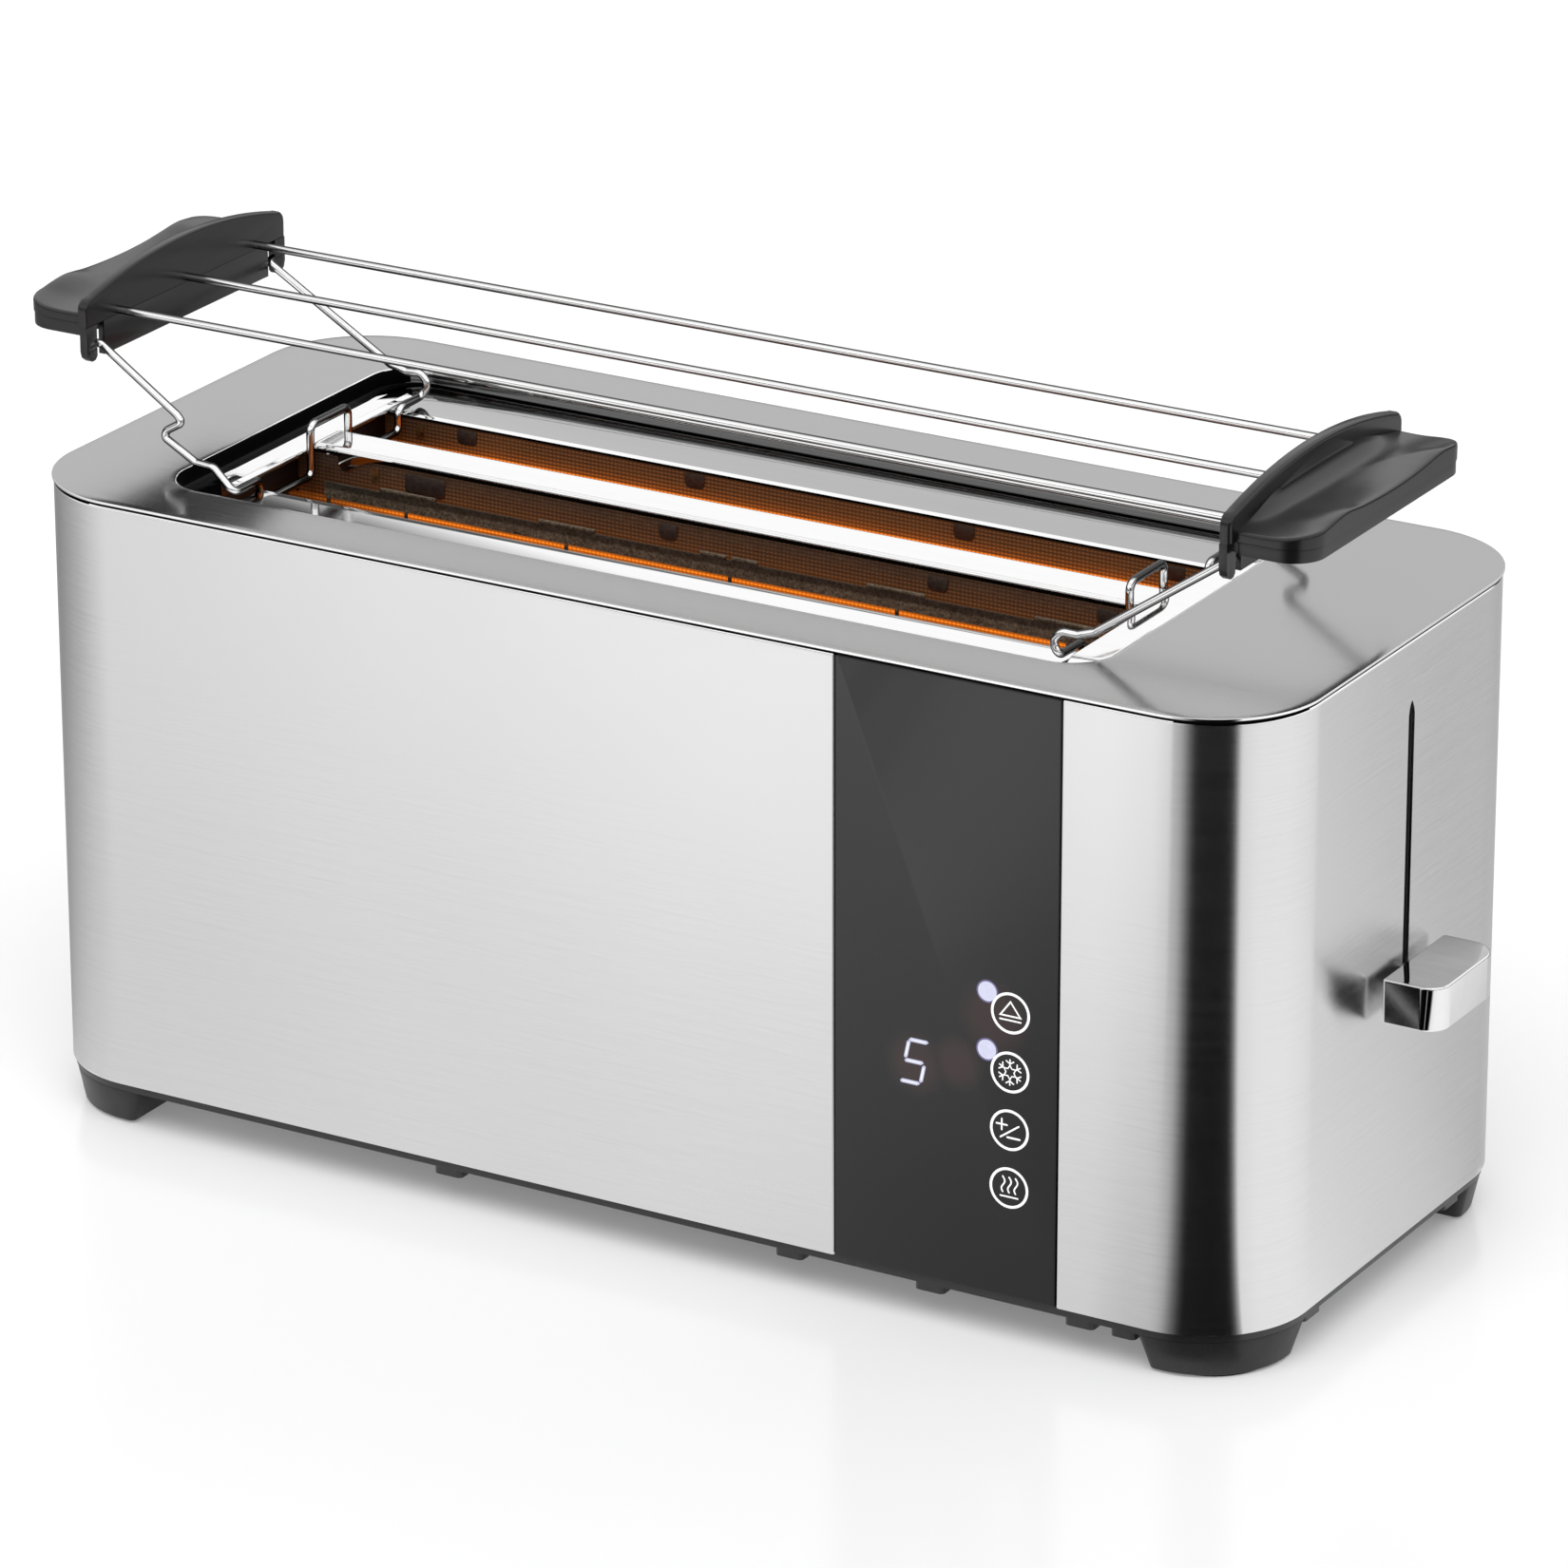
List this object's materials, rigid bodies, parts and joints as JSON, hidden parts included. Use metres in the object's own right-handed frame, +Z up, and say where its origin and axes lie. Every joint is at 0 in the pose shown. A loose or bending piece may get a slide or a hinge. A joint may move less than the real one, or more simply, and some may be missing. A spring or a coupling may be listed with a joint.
{
  "type": "long slot toaster",
  "caption": "Long household toaster with two full length bread slots, a side lever, a touch control panel, a crumb tray and a lift-off bun warming rack.",
  "frame": {"origin": "centre of the bounding box's bottom face, on the surface the feet stand on", "axes": "+Z up, +X along the slots towards the lever end, -Y towards the face with the control panel"},
  "size_m": [0.44, 0.169, 0.2442],
  "materials": {
    "brushed_steel_side": "horizontal brushing, satin",
    "brushed_steel_top": "brushed along the slots, satin",
    "polished_steel": "polished",
    "bright_wire": "bright chromed wire",
    "black_plastic": "fine matt moulding",
    "foot_plastic": "fine matt moulding",
    "foot_rubber": "matt",
    "handle_plastic": "satin moulding",
    "panel_glass": "smooth black glass, back painted",
    "display_plastic": "diffusing window",
    "mica_board": "layered mica sheet",
    "heater_ribbon": "resistance ribbon, glowing",
    "dark_clip": "heat darkened",
    "brass_terminal": "plain",
    "guard_steel": "heat toned wire and strip",
    "zinc_sheet": "zinc coated sheet",
    "screw_steel": "plated",
    "circuit_board": "lacquered",
    "component_plastic": "moulded",
    "copper_coil": "enamelled wire",
    "wire_sleeve": "heat proof sleeve"
  },
  "bodies": {
    "body": {"base_moulding": "black_plastic", "base_screws": "screw_steel", "centre_bridge": "polished_steel", "centre_reflector": "zinc_sheet", "chassis_rails": "zinc_sheet", "control_board": "circuit_board", "control_panel": "panel_glass", "cord_gland": "black_plastic", "display_module": "display_plastic", "electromagnet_bracket": "zinc_sheet", "electromagnet_coil": "copper_coil", "electromagnet_core": "screw_steel", "feet": "foot_plastic", "foot_pads": "foot_rubber", "guide_rod": "screw_steel", "guide_rod_brackets": "zinc_sheet", "heat_shields": "zinc_sheet", "heater_board_front_inner": "mica_board", "heater_board_front_outer": "mica_board", "heater_board_rear_inner": "mica_board", "heater_board_rear_outer": "mica_board", "heater_terminals": "brass_terminal", "heater_winding_front_inner": "heater_ribbon", "heater_winding_front_outer": "heater_ribbon", "heater_winding_rear_inner": "heater_ribbon", "heater_winding_rear_outer": "heater_ribbon", "internal_wiring": "wire_sleeve", "left_chassis_plate": "zinc_sheet", "lever_slot_guide": "black_plastic", "mica_clips": "dark_clip", "outer_sleeve": "brushed_steel_side", "panel_carrier": "black_plastic", "power_board": "circuit_board", "power_components": "component_plastic", "right_chassis_plate": "zinc_sheet", "slot_frame": "polished_steel", "status_leds": "display_plastic", "terminal_block": "black_plastic", "top_plate": "brushed_steel_top", "touch_springs": "screw_steel", "upper_frame": "black_plastic"},
    "carriage": {"lever_knob": "polished_steel", "lever_arm": "zinc_sheet", "carriage_slider": "component_plastic", "latch_armature": "zinc_sheet", "front_bread_rack": "guard_steel", "rear_bread_rack": "guard_steel"},
    "front_slot_guard_near_body": {"front_slot_guard_near": "guard_steel"},
    "front_slot_guard_far_body": {"front_slot_guard_far": "guard_steel"},
    "rear_slot_guard_near_body": {"rear_slot_guard_near": "guard_steel"},
    "rear_slot_guard_far_body": {"rear_slot_guard_far": "guard_steel"},
    "tray": {"crumb_tray": "zinc_sheet"},
    "bun_rack": {"rack_rods": "bright_wire", "left_handle_upper": "handle_plastic", "right_handle_upper": "handle_plastic", "left_handle_lower": "handle_plastic", "right_handle_lower": "handle_plastic", "handle_screws": "screw_steel"},
    "left_leg": {"left_leg_wire": "bright_wire"},
    "right_leg": {"right_leg_wire": "bright_wire"}
  },
  "joints": [
    {"name": "lever_slide", "type": "slide", "parent": "body", "child": "carriage", "axis": [0, 0, 1], "range_m": [0, 0.073]},
    {"name": "front_slot_guard_near_slide", "type": "slide", "parent": "body", "child": "front_slot_guard_near_body", "axis": [0, -1, 0], "range_m": [0, 0.0044]},
    {"name": "front_slot_guard_far_slide", "type": "slide", "parent": "body", "child": "front_slot_guard_far_body", "axis": [0, 1, 0], "range_m": [0, 0.0044]},
    {"name": "rear_slot_guard_near_slide", "type": "slide", "parent": "body", "child": "rear_slot_guard_near_body", "axis": [0, -1, 0], "range_m": [0, 0.0044]},
    {"name": "rear_slot_guard_far_slide", "type": "slide", "parent": "body", "child": "rear_slot_guard_far_body", "axis": [0, 1, 0], "range_m": [0, 0.0044]},
    {"name": "tray_pull", "type": "slide", "parent": "body", "child": "tray", "axis": [0, 1, 0], "range_m": [0, 0.11]},
    {"name": "rack_lift", "type": "slide", "parent": "body", "child": "bun_rack", "axis": [0, 0, 1], "range_m": [0, 0.06]},
    {"name": "left_leg_fold", "type": "hinge", "parent": "bun_rack", "child": "left_leg", "pos_m": [-0.19585, 0, 0.2239], "axis": [0, -1, 0], "range_deg": [0, 32]},
    {"name": "right_leg_fold", "type": "hinge", "parent": "bun_rack", "child": "right_leg", "pos_m": [0.16985, 0, 0.2239], "axis": [0, 1, 0], "range_deg": [0, 32]}
  ],
  "couplings": [
    {"joint": "front_slot_guard_near_slide", "follows": "lever_slide", "ratio": 0.06},
    {"joint": "front_slot_guard_far_slide", "follows": "lever_slide", "ratio": 0.06},
    {"joint": "rear_slot_guard_near_slide", "follows": "lever_slide", "ratio": 0.06},
    {"joint": "rear_slot_guard_far_slide", "follows": "lever_slide", "ratio": 0.06}
  ]
}
